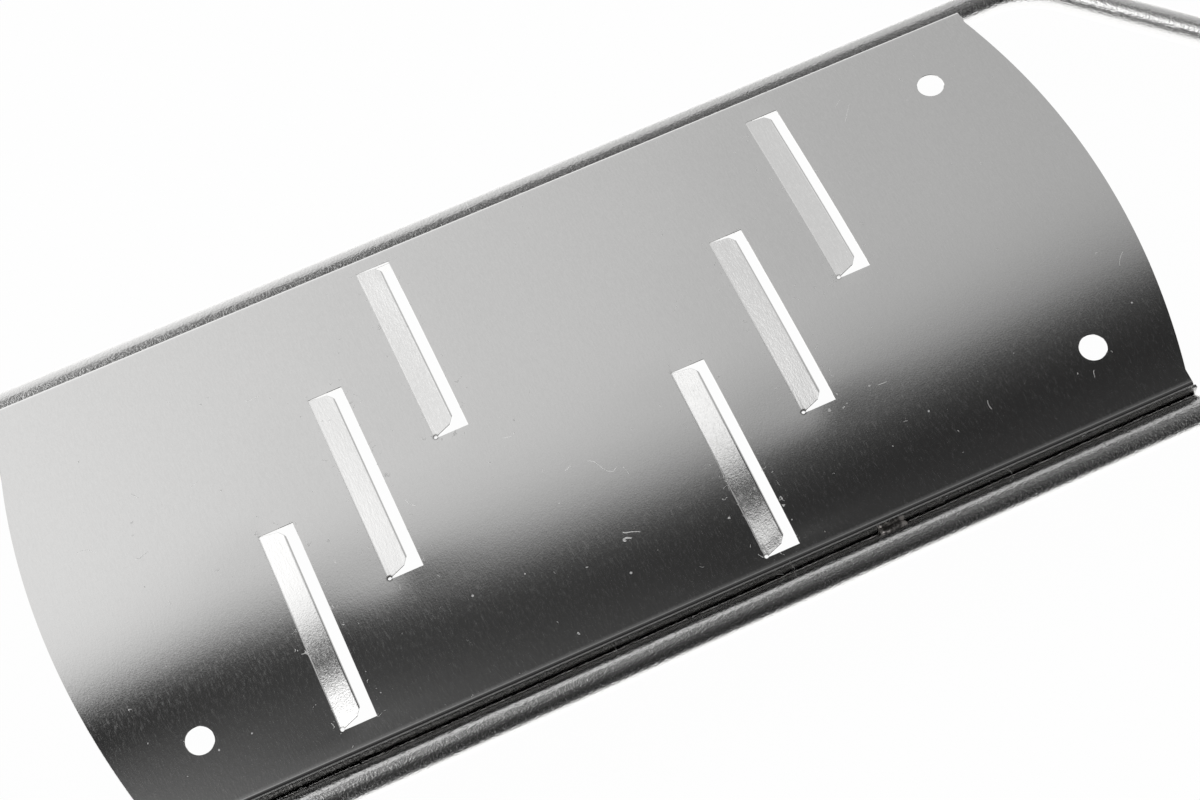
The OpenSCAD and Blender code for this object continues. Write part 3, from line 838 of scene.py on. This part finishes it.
def slot_marks(points):
    """How far each point has each mark: notch shade, painted shade that is full at the rims of the relief
    notches; worn, full along the folds; burred, full along the rims of the slots; and lip, on the lips."""
    notch_shade, worn, burred, lip = np.zeros((4, len(points)))
    x_all, y_all = points[:, 0] / MM - plate_x, points[:, 1] / MM
    for (x, y), strength in zip(SLOTS, PAINTED_NOTCH_SHADE):
        from_fold = x_all - x + SLOT_W / 2
        from_notch = np.hypot(from_fold - RELIEF_AT[0], y_all - y + SLOT_LEN / 2 - RELIEF_AT[1]) - RELIEF_R
        # Painted shade, darkest on the rim of each relief notch and fading away from it
        notch_shade = np.maximum(notch_shade, strength * np.clip(NOTCH_SHADE_STEEP * (1 - from_notch / NOTCH_SHADE_REACH), 0, 1))
        off_x, off_y = np.abs(x_all - x) - SLOT_W / 2, np.abs(y_all - y) - SLOT_LEN / 2
        worn = np.maximum(worn, np.where(off_y < WORN_BEYOND, 1 - np.abs(from_fold) / FOLD_WORN, 0))
        on_lip = (off_x < -LIP_INSET) & (off_y < -LIP_INSET)
        away = np.hypot(np.maximum(off_x, 0), np.maximum(off_y, 0))
        burred = np.maximum(burred, np.where(on_lip, 0, 1 - away / BURR_REACH))
        lip = np.maximum(lip, on_lip)
    return {"notch_shade": notch_shade, "worn": worn, "burred": burred, "lip": lip}


def marked(tree, where, shown, rough, height):
    """Finish of the marks: rough folds, small burrs, painted shade in the notches, stronger grain
    on the lips.
    """
    amount = {}
    for mark in ("notch_shade", "worn", "burred", "lip"):
        node = new_node(tree, "Attribute")
        node.attribute_name = mark
        amount[mark] = node.outputs["Fac"]
    rough = math_node(tree, "MULTIPLY_ADD", amount["worn"], WORN_ROUGHNESS, rough)
    rarity = mixed(tree, amount["burred"], *BURR_RARITY)
    burrs = placed_group(tree, SCRATCHES, Vector=where, Rarity=rarity, **BURR_SHAPE)
    rough = mixed(tree, burrs["Mask"], rough, SCRATCH_ROUGHNESS)
    # Painted shade: the rims of the relief notches are darkened in colour and made rougher
    rough = mixed(tree, amount["notch_shade"], rough, NOTCH_SHADE_ROUGHNESS)
    shown = mixed(tree, amount["notch_shade"], shown, NOTCH_SHADE_COLOUR, colour=True)
    stronger = math_node(tree, "MULTIPLY_ADD", amount["lip"], LIP_GRAIN, 1.0)
    return shown, rough, math_node(tree, "MULTIPLY", height, stronger)


rows, quads = without_spares(*plate_sheet())
x, s, outer_rise, inner_rise, thickness = rows.T
x = stretched(x, s)
outer_face = sheet_point(x, s, outer_rise, 0)
inner_face = sheet_point(x, s, inner_rise, thickness)
plate_points, plate_faces = solid_sheet(outer_face, inner_face, quads)
plate = mesh_object("plate", plate_points, plate_faces, crisp=CRISP_SHEET, material=steel_finish(
    "plate_rolled_steel", STEEL_COLOUR, roughness=0.058, rough_spread=0.015, lines=4600, stretch=0.22,
    mottle=4400, mottle_height=1.0, grain_height=2.4e-6, scratch_scale=150, rarity=0.78, thinness=0.003,
    threads=0.055, marks=marked
))
for mark, amount in slot_marks(plate_points).items():
    plate.data.attributes.new(mark, "FLOAT", "POINT").data.foreach_set("value", amount.astype(np.float32))
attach(plate, root)
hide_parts("blade_plate")


# Wire frame
# One polished stainless wire. From the tip bar it rises on both sides to the two rails that carry
# the plate, bends in at the neck and ends in two straight tangs inside the handle.
WIRE_D = 4.2
SEAT_DROP = 3.9
RAIL_GAP = 0.05
NECK_RUN = 1.7
NECK_R = 14.0
NECK_TURN = np.radians(45)
TIP_RUN = 5.3
DIP_R = 8.0
DIP_TURN = np.radians(40)
DIP_RUN = 1.2
CORNER_R = 8.0
TANG_SPACING = 15.0
TANG_RUN = 39.0
WIRE_SIDES = 40
BEND_STEPS = 24
RUN_STEP = 2.5
CRISP_WIRE = 40
OTHER_SIDE = np.array([1, -1, 1])

wire_z = edge_z - SEAT_DROP
rail_y = flange_y + RAIL_GAP + WIRE_D / 2
neck_slant = (rail_y - TANG_SPACING / 2 - 2 * NECK_R * (1 - np.cos(NECK_TURN))) / np.sin(NECK_TURN)
rail_run = PLATE_LEN + TIP_RUN + NECK_RUN
bar_x = -PLATE_LEN / 2 - TIP_RUN - DIP_R * np.sin(DIP_TURN) - (DIP_RUN + CORNER_R) * np.cos(DIP_TURN)
bar_z = wire_z - DIP_R * (1 - np.cos(DIP_TURN)) - (DIP_RUN + CORNER_R) * np.sin(DIP_TURN)


def half_wire():
    """Middle line of the +Y half, from the middle of the tip bar to the end of its tang, with a
    side and an up direction at each point. Straight runs and round bends follow each other; a
    bend turns the frame about its own up or side direction."""
    place = np.array([plate_x + bar_x, 0, bar_z])
    ahead = np.array([0, 1.0, 0])
    side = np.array([-np.cos(DIP_TURN), 0, -np.sin(DIP_TURN)])
    up = np.cross(ahead, side)
    route = (
        ("run", rail_y - CORNER_R), ("side", -CORNER_R, np.pi / 2), ("run", DIP_RUN),
        ("up", -DIP_R, DIP_TURN), ("run", rail_run), ("side", -NECK_R, NECK_TURN),
        ("run", neck_slant), ("side", NECK_R, NECK_TURN), ("run", TANG_RUN)
    )
    points, sides, ups = [place[None]], [side[None]], [up[None]]
    for kind, size, *turn in route:
        if kind == "run":
            line = place + np.linspace(0, size, int(np.ceil(size / RUN_STEP)) + 1)[1:, None] * ahead
        else:
            outward = side if kind == "side" else up
            a = np.linspace(0, turn[0], BEND_STEPS + 1)[1:, None]
            bent = outward * np.cos(a) - np.sign(size) * ahead * np.sin(a)
            line = place + size * outward - size * bent
            ahead = ahead * np.cos(turn[0]) + np.sign(size) * outward * np.sin(turn[0])
            side, up = (bent, up) if kind == "side" else (side, bent)
        for rows, part in ((points, line), (sides, side), (ups, up)):
            rows.append(np.broadcast_to(part, line.shape))
        place, side, up = points[-1][-1], sides[-1][-1], ups[-1][-1]
    return np.concatenate(points), np.concatenate(sides), np.concatenate(ups)


def tube(middle, sides, ups, radius):
    """Rings of points about each point of a line: side times cosine plus up times sine."""
    a = -2 * np.pi * np.arange(WIRE_SIDES)[None, :, None] / WIRE_SIDES
    return middle[:, None] + radius * (np.cos(a) * sides[:, None] + np.sin(a) * ups[:, None])


def ring_faces(rows, columns):
    """Quads between rings of points that each close on themselves."""
    number = numbered(rows, columns)
    return grid_faces(np.column_stack([number, number[:, 0]])).reshape(-1, 4)


def end_caps(rows, columns):
    """Flat faces over the first and the last of such rings."""
    return np.stack([np.arange(columns), rows * columns - 1 - np.arange(columns)])


middle, sides, ups = half_wire()
half = tube(middle, sides, ups, WIRE_D / 2)
rings = np.concatenate([half[:0:-1] * OTHER_SIDE, half])
whole_line = np.concatenate([middle[:0:-1] * OTHER_SIDE, middle])
run = np.concatenate([[0], np.cumsum(np.linalg.norm(np.diff(whole_line, axis=0), axis=1))])
around = np.pi * WIRE_D / WIRE_SIDES * np.arange(WIRE_SIDES + 1)
uv_grid = spread(around[None], run[:, None]) * MM
wire_uv = np.concatenate([grid_faces(uv_grid).reshape(-1, 2), np.zeros((2 * WIRE_SIDES, 2))])
wire_steel = steel_finish(
    "wire_polished_steel", STEEL_COLOUR, roughness=0.08, rough_spread=0.03, lines=3600, stretch=0.4,
    mottle=3600, mottle_height=0.9, grain_height=5e-5, scratch_scale=160, rarity=0.8, along_uv=True
)
wire = mesh_object(
    "wire", rings.reshape(-1, 3) * MM, ring_faces(len(rings), WIRE_SIDES), end_caps(len(rings), WIRE_SIDES),
    material=wire_steel, crisp=CRISP_WIRE, corner_uv=wire_uv
)
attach(wire, root)
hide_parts("frame_wire")


# Rail welds
# Small bare beads in the groove between the flanges and the rails, two on each side, uneven as
# the resistance weld left them.
WELD_COLOUR = (0.27, 0.255, 0.245)
WELD_PLACES = (27.8, -64.0)
WELD_LEN = 2.2
WELD_D = 1.7
WELD_RISE = 1.0
WELD_BLUNT = 0.55
WELD_WAVES = ((0.05, 3, 2), (0.04, -2, 5))
WELD_PHASE = 1.7
WELD_SIDES = 28
WELD_STEPS = 30


def weld_bead(x, side, phase):
    """Long bead along the rail: a round rod with round ends whose radius swells and shrinks by a
    few slow waves along and around it, closed by one point at each end."""
    t = np.linspace(0, np.pi, WELD_STEPS)[1:-1, None]
    a = np.linspace(2 * np.pi, 0, WELD_SIDES, endpoint=False)[None]
    half_len = (WELD_LEN + WELD_D) / 2
    along = -np.cos(t) * half_len
    uneven = sum(size * np.sin(turns * a + runs * along + phase) for size, turns, runs in WELD_WAVES)
    radius = WELD_D / 2 * np.sin(t) ** WELD_BLUNT * (1 + uneven)
    bead_x, bead_y, bead_z = plate_x + x, flange_y + WELD_D / 4, wire_z + WELD_RISE
    points = spread(
        bead_x + along, side * (bead_y + radius * np.cos(a)), bead_z + radius * np.sin(a)
    ).reshape(-1, 3)
    ends = np.array([[bead_x + end * half_len, side * bead_y, bead_z] for end in (-1, 1)])
    ring = np.arange(WELD_SIDES)
    last = len(points) - WELD_SIDES + ring
    low = np.full(WELD_SIDES, len(points))
    blocks = [
        ring_faces(len(t), WELD_SIDES), np.stack([low, ring, np.roll(ring, -1)], axis=-1),
        np.stack([last, low + 1, np.roll(last, -1)], axis=-1)
    ]
    if side < 0:
        blocks = [block[:, ::-1] for block in blocks]
    return np.concatenate([points, ends]) * MM, *blocks


def joined(*shells):
    """Closed shells, each its points and its arrays of faces, as those of one piece."""
    starts = np.cumsum([0] + [len(points) for points, *_ in shells])
    blocks = [block + start for start, (_, *faces) in zip(starts, shells) for block in faces]
    return np.concatenate([points for points, *_ in shells]), *blocks


bead_places = [(x, side) for x in WELD_PLACES for side in (-1, 1)]
beads = [weld_bead(x, side, WELD_PHASE * n) for n, (x, side) in enumerate(bead_places)]
welds = mesh_object("welds", *joined(*beads), material=steel_finish(
    "bare_weld", WELD_COLOUR, roughness=0.24, rough_spread=0.06, lines=2500, stretch=1.0,
    mottle=1800, mottle_height=1.2, grain_height=7e-6, scratch_scale=300, rarity=0.85
))
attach(welds, root)
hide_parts("rail_welds")


# Rubber and plastic surfaces
# The feet, the grip and the core of the handle are moulded. They share one skin: the fine pits of
# a moulded surface over a slow change of tone.
SKIN_TONE_SCALE = 180.0
SKIN_GLOSS_SPREAD = 0.06
SKIN_STRENGTH = 0.8
FINE_SIZE = 0.6
FINE_SHARE = 0.5


def moulded_skin():
    """Skin: cell noise for pits and slow noise for tone. Gives a height and a tone mask."""
    tree, given, made = finish_group("moulded_skin", ("Height", "Tone"), Pits=2600.0)
    pits = new_node(tree, "TexVoronoi", Vector=given["Vector"], Scale=given["Pits"])
    pits.feature = "SMOOTH_F1"
    fine_scale = math_node(tree, "MULTIPLY", given["Pits"], FINE_SIZE)
    fine = noise(tree, Vector=given["Vector"], Scale=fine_scale, Detail=4.0)
    height = math_node(tree, "MULTIPLY_ADD", fine, FINE_SHARE, pits.outputs["Distance"])
    feed(tree, made["Height"], height)
    feed(tree, made["Tone"], noise(tree, Vector=given["Vector"], Scale=SKIN_TONE_SCALE, Detail=3.0))
    return tree


SKIN = moulded_skin()


def moulded_finish(name, dark, light, roughness, pits, pit_depth):
    """Moulded black plastic or rubber: pitted skin, slightly uneven tone and gloss."""
    material, tree, surface = new_material(name)
    where = new_node(tree, "TexCoord").outputs["Object"]
    skin = placed_group(tree, SKIN, Vector=where, Pits=pits)
    wire_up(
        tree, surface, Base_Color=mixed(tree, skin["Tone"], (*dark, 1), (*light, 1), colour=True),
        Roughness=mixed(tree, skin["Tone"], roughness - SKIN_GLOSS_SPREAD, roughness + SKIN_GLOSS_SPREAD),
        Normal=bumped(tree, skin["Height"], pit_depth, SKIN_STRENGTH)
    )
    return material


def closed_band(loops):
    """Closed surface through loops of points that join end to end: rows and columns both wrap."""
    number = np.pad(numbered(*loops.shape[:2]), (0, 1), mode="wrap")
    return loops.reshape(-1, 3) * MM, grid_faces(number).reshape(-1, 4)


# Tip feet
# Two black rubber sleeves pushed onto the tip bar, with a flat sole each. They are out of view in
# the photograph, so their form is a plain one of the kind.
FOOT_D = 8.0
FOOT_LEN = 12.0
FOOT_Y = 19.0
FOOT_EDGE = 0.8
SOLE_W = 5.8
SOLE_REACH = 5.0
GROOVE_PLACES = (-2.4, 2.4)
GROOVE_DEPTH = 0.25
GROOVE_W = 0.35
GROOVE_FROM = -0.55
BORE_R = WIRE_D / 2 + 0.02
BORE_PLACES = np.array([1, 0.9, 0, -0.9, -1])
EDGE_STEPS = 7
FOOT_SIDES = 96
FOOT_STEPS = 60
CRISP_FOOT = 35


def foot_loops(side):
    """Section of a foot about the bar: a circle joined to a flat sole by the larger of the two
    reaches in each direction. It is carried along the bar, rounded at both ends and grooved
    twice, and then goes back through the bore."""
    a = 2 * np.pi * np.arange(FOOT_SIDES) / FOOT_SIDES
    reach_down = bar_z / np.maximum(-np.sin(a), 1e-6)
    reach_side = (SOLE_W / 2) / np.maximum(np.abs(np.cos(a)), 1e-6)
    block = np.where(np.sin(a) < 0, np.minimum(reach_down, reach_side), 0)
    reach = np.maximum(np.minimum(block, SOLE_REACH), FOOT_D / 2)
    half_len = FOOT_LEN / 2
    flat_half = half_len - FOOT_EDGE
    rounded = flat_half + FOOT_EDGE * np.sin(np.radians(np.linspace(0, 90, EDGE_STEPS)))
    y = np.concatenate([-rounded[::-1], np.linspace(-flat_half, flat_half, FOOT_STEPS)[1:-1], rounded])
    over = (np.abs(y) - half_len + FOOT_EDGE).clip(0) / FOOT_EDGE
    inset = FOOT_EDGE * (1 - np.sqrt(np.clip(1 - over ** 2, 0, 1)))
    groove = GROOVE_DEPTH * sum(np.exp(-((y - place) / GROOVE_W) ** 2) for place in GROOVE_PLACES)
    shape = reach[None] - inset[:, None] - groove[:, None] * (np.sin(a) > GROOVE_FROM)[None]
    y = np.concatenate([y, half_len * BORE_PLACES])[:, None]
    shape = np.concatenate([shape, np.full((len(BORE_PLACES), FOOT_SIDES), BORE_R)])
    return spread(
        plate_x + bar_x + shape * np.cos(a), side * FOOT_Y + y, np.maximum(bar_z + shape * np.sin(a), 0)
    )


foot_rubber = moulded_finish(
    "foot_rubber", dark=(0.012, 0.012, 0.013), light=(0.022, 0.022, 0.023), roughness=0.62, pits=2400,
    pit_depth=1.5e-5
)
for name, node, side in (("foot_left", "tip_foot_left", -1), ("foot_right", "tip_foot_right", 1)):
    foot = mesh_object(name, *closed_band(foot_loops(side)), crisp=CRISP_FOOT, material=foot_rubber)
    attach(foot, root)
    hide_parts(node)


# Handle core
# A hard black moulding: the nose that takes the wire, a flat bar inside the grip and the tail with
# its hanging hole. Out of view in the photograph, so it has a plain form of the kind.
HANDLE_LEN = 99.0
NOSE_LEN = 11.0
TAIL_LEN = 23.0
SHOULDER_RUN = 9.0
PALM_INSET = 3.0
NOSE_ROUND = 2.5
NOSE_DRAW = 0.14
TIP_FLAT = 0.16
SECTION_POWER = 2.6
CORE_W = 22.4
CORE_H = 9.0
CORE_SQUARE = 0.25
CORE_OVERLAP = 1.0
HANG_R = 4.0
HANG_INSET = 11.0
HANG_EDGE = 1.1
HANG_RINGS = np.array([0.0, 0.12, 0.35, 0.7, HANG_EDGE])
TAIL_STEP = np.radians(3)
TAIL_REACH = 26
TAIL_TRIES = 1400
TAIL_RINGS = 26
TAIL_CROWD = 2.2
TAIL_EDGE = 0.02
WALL_STEPS = 9
HANDLE_SIDES = 96
NOSE_STEPS = (12, 24)
SEAM = 0.25
SEAM_LINES = SEAM * np.array([0.4, 0.8, 1.2, 1.6, 2.0])
CRISP_HANDLE = 30

grip_end = HANDLE_LEN - TAIL_LEN
shoulder_x = NOSE_LEN + SHOULDER_RUN
palm_x = grip_end - PALM_INSET
# Place along the handle, width and height
STATIONS = np.array([
    [0, 25.0, 13.0], [shoulder_x, 28.0, 20.5], [(shoulder_x + palm_x) / 2, 26.4, 19.0],
    [palm_x, 30.0, 24.4], [HANDLE_LEN - NOSE_ROUND, 29.0, 11.0], [HANDLE_LEN, 29.0, 11.0]
])
tail_half = STATIONS[-1, 1] / 2
handle_x = cad_high.x / MM - HANDLE_LEN


def eased(x, k):
    """Width or height at a place along the handle: a cosine ease from station to station."""
    i = np.clip(np.searchsorted(STATIONS[:, 0], x, side="right") - 1, 0, len(STATIONS) - 2)
    a, b = STATIONS[i], STATIONS[i + 1]
    share = np.clip((x - a[..., 0]) / (b[..., 0] - a[..., 0]), 0, 1)
    return a[..., k] + (b[..., k] - a[..., k]) * (1 - np.cos(np.pi * share)) / 2


def nose_factor(x):
    """Draw-in of the front face: a quarter round of its own share of the size."""
    u = np.clip(1 - x / NOSE_ROUND, 0, 1)
    return 1 - NOSE_DRAW + NOSE_DRAW * np.sqrt(1 - u * u)


def tail_factor(x):
    """Draw-in of the tail: a half round in plan, cut a little flat at its very end."""
    u = np.clip((x - HANDLE_LEN + tail_half) / tail_half, 0, 1)
    return np.sqrt(np.maximum(TIP_FLAT ** 2, 1 - u * u))


def half_width(x):
    """Half the width of the handle, with the draw-in of its nose and its tail."""
    return eased(x, 1) / 2 * nose_factor(x) * tail_factor(x)


def half_height(x):
    """Half its height, which the tail draws in less, by the root of that factor."""
    return eased(x, 2) / 2 * nose_factor(x) * tail_factor(x) ** 0.5


def handle_points(x, y, z):
    """Points at x from the front of the handle, y to its side and z above its middle line."""
    return spread(handle_x + x, y, wire_z + z)


def rounded_section(power):
    """Side and height of a rounded square: cosine and sine to a power, with their signs kept."""
    a = 2 * np.pi * np.arange(HANDLE_SIDES) / HANDLE_SIDES
    return [np.sign(part) * np.abs(part) ** power for part in (np.cos(a), np.sin(a))]


def handle_ring(x, shrink):
    """Rounded section at each x: half the width and half the height times cosine and sine to the
    power 2 / SECTION_POWER."""
    x, shrink = x[:, None], shrink[:, None]
    across, up = rounded_section(2 / SECTION_POWER)
    return handle_points(x, (half_width(x) - shrink) * across, (half_height(x) - shrink) * up)


def core_ring(x):
    """Squarish section of the middle of the core at each x."""
    across, up = rounded_section(CORE_SQUARE)
    return handle_points(np.array(x)[:, None], CORE_W / 2 * across, CORE_H / 2 * up)


def capped(rings):
    """Closed surface through rings along X, with a flat face at each end."""
    shape = rings.shape[:2]
    return rings.reshape(-1, 3) * MM, ring_faces(*shape)[:, ::-1], end_caps(*shape)[:, ::-1]


def seam_shrink(x, low, high):
    """Narrow rounding towards each end of a moulding, which leaves a fine seam where two meet."""
    near = np.minimum(x - low, high - x)
    return SEAM * np.clip(1 - near / (2 * SEAM), 0, 1) ** 2


def tail_loops():
    """Tail about its hanging hole: along each direction from the hole the surface goes out over
    the top to the outline, down its edge, back under and up through the hole."""
    centre = HANDLE_LEN - HANG_INSET
    corner = np.arctan2(half_width(grip_end), grip_end - centre)
    turns = [0, np.pi / 2, corner, np.pi, 2 * np.pi - corner, 1.5 * np.pi, 2 * np.pi]
    angle = filled_lines(turns, TAIL_STEP)[:-1, None]
    reach = np.linspace(HANG_R, TAIL_REACH, TAIL_TRIES)
    x = centre + np.cos(angle) * reach
    y = np.sin(angle) * reach
    inside = (x >= grip_end) & (x <= HANDLE_LEN) & (np.abs(y) <= half_width(np.clip(x, 0, HANDLE_LEN)))
    outline = reach[np.maximum(np.argmin(inside, axis=1) - 1, 1)][:, None]
    t = 1 - (1 - np.linspace(0, 1, TAIL_RINGS)[1:]) ** TAIL_CROWD
    r = np.concatenate([
        np.broadcast_to(HANG_R + HANG_RINGS, (len(angle), len(HANG_RINGS))),
        HANG_R + HANG_EDGE + t * (outline - HANG_R - HANG_EDGE)
    ], axis=1)
    x = np.clip(centre + np.cos(angle) * r, grip_end, HANDLE_LEN)
    y = np.sin(angle) * r
    wide = np.abs(y) / half_width(x)
    z = half_height(x) * np.clip(1 - wide ** SECTION_POWER, 0, 1) ** (1 / SECTION_POWER)
    z = z - seam_shrink(x, grip_end, np.inf)
    edge = np.clip(1 - (r - HANG_R) / HANG_EDGE, 0, 1)
    z = np.maximum(z - HANG_EDGE * (1 - np.sqrt(1 - edge ** 2)), TAIL_EDGE)
    wall = z[:, :1] * np.linspace(-1, 1, WALL_STEPS)[1:-1]
    return np.concatenate([
        handle_points(x, y, z), handle_points(x[:, -1:], y[:, -1:], 0),
        handle_points(x, y, -z)[:, ::-1], handle_points(x[:, :1], y[:, :1], wall)
    ], axis=1)


nose_x = np.unique(np.concatenate([
    NOSE_ROUND * (1 - np.cos(np.linspace(0, np.pi / 2, NOSE_STEPS[0]))),
    np.linspace(NOSE_ROUND, NOSE_LEN, NOSE_STEPS[1])[1:], NOSE_LEN - SEAM_LINES
]))
nose = handle_ring(nose_x, seam_shrink(nose_x, -np.inf, NOSE_LEN))
core_bar = core_ring([NOSE_LEN - CORE_OVERLAP, NOSE_LEN, grip_end, grip_end + CORE_OVERLAP])
core_shells = joined(capped(nose), capped(core_bar), closed_band(tail_loops()))
core = mesh_object("core", *core_shells, crisp=CRISP_HANDLE, material=moulded_finish(
    "handle_plastic", dark=(0.013, 0.013, 0.014), light=(0.02, 0.02, 0.021), roughness=0.38, pits=3200,
    pit_depth=6e-6
))
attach(core, root)
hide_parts("handle_core")


# Handle grip
# A soft black rubber sleeve moulded round the bar of the core, from the nose to the tail. Its
# outside follows the stations of the handle and its inside the bar.
GRIP_STEPS = 110

grip_x = np.unique(np.concatenate([
    np.linspace(NOSE_LEN, grip_end, GRIP_STEPS), NOSE_LEN + SEAM_LINES, grip_end - SEAM_LINES
]))
grip_points, grip_faces = closed_band(np.concatenate([
    handle_ring(grip_x, seam_shrink(grip_x, NOSE_LEN, grip_end)),
    core_ring([grip_end, (NOSE_LEN + grip_end) / 2, NOSE_LEN])
]))
grip = mesh_object("grip", grip_points, grip_faces[:, ::-1], crisp=CRISP_HANDLE, material=moulded_finish(
    "grip_rubber", dark=(0.016, 0.016, 0.017), light=(0.027, 0.027, 0.028), roughness=0.66, pits=2200,
    pit_depth=1.4e-5
))
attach(grip, root)
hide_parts("handle_grip")
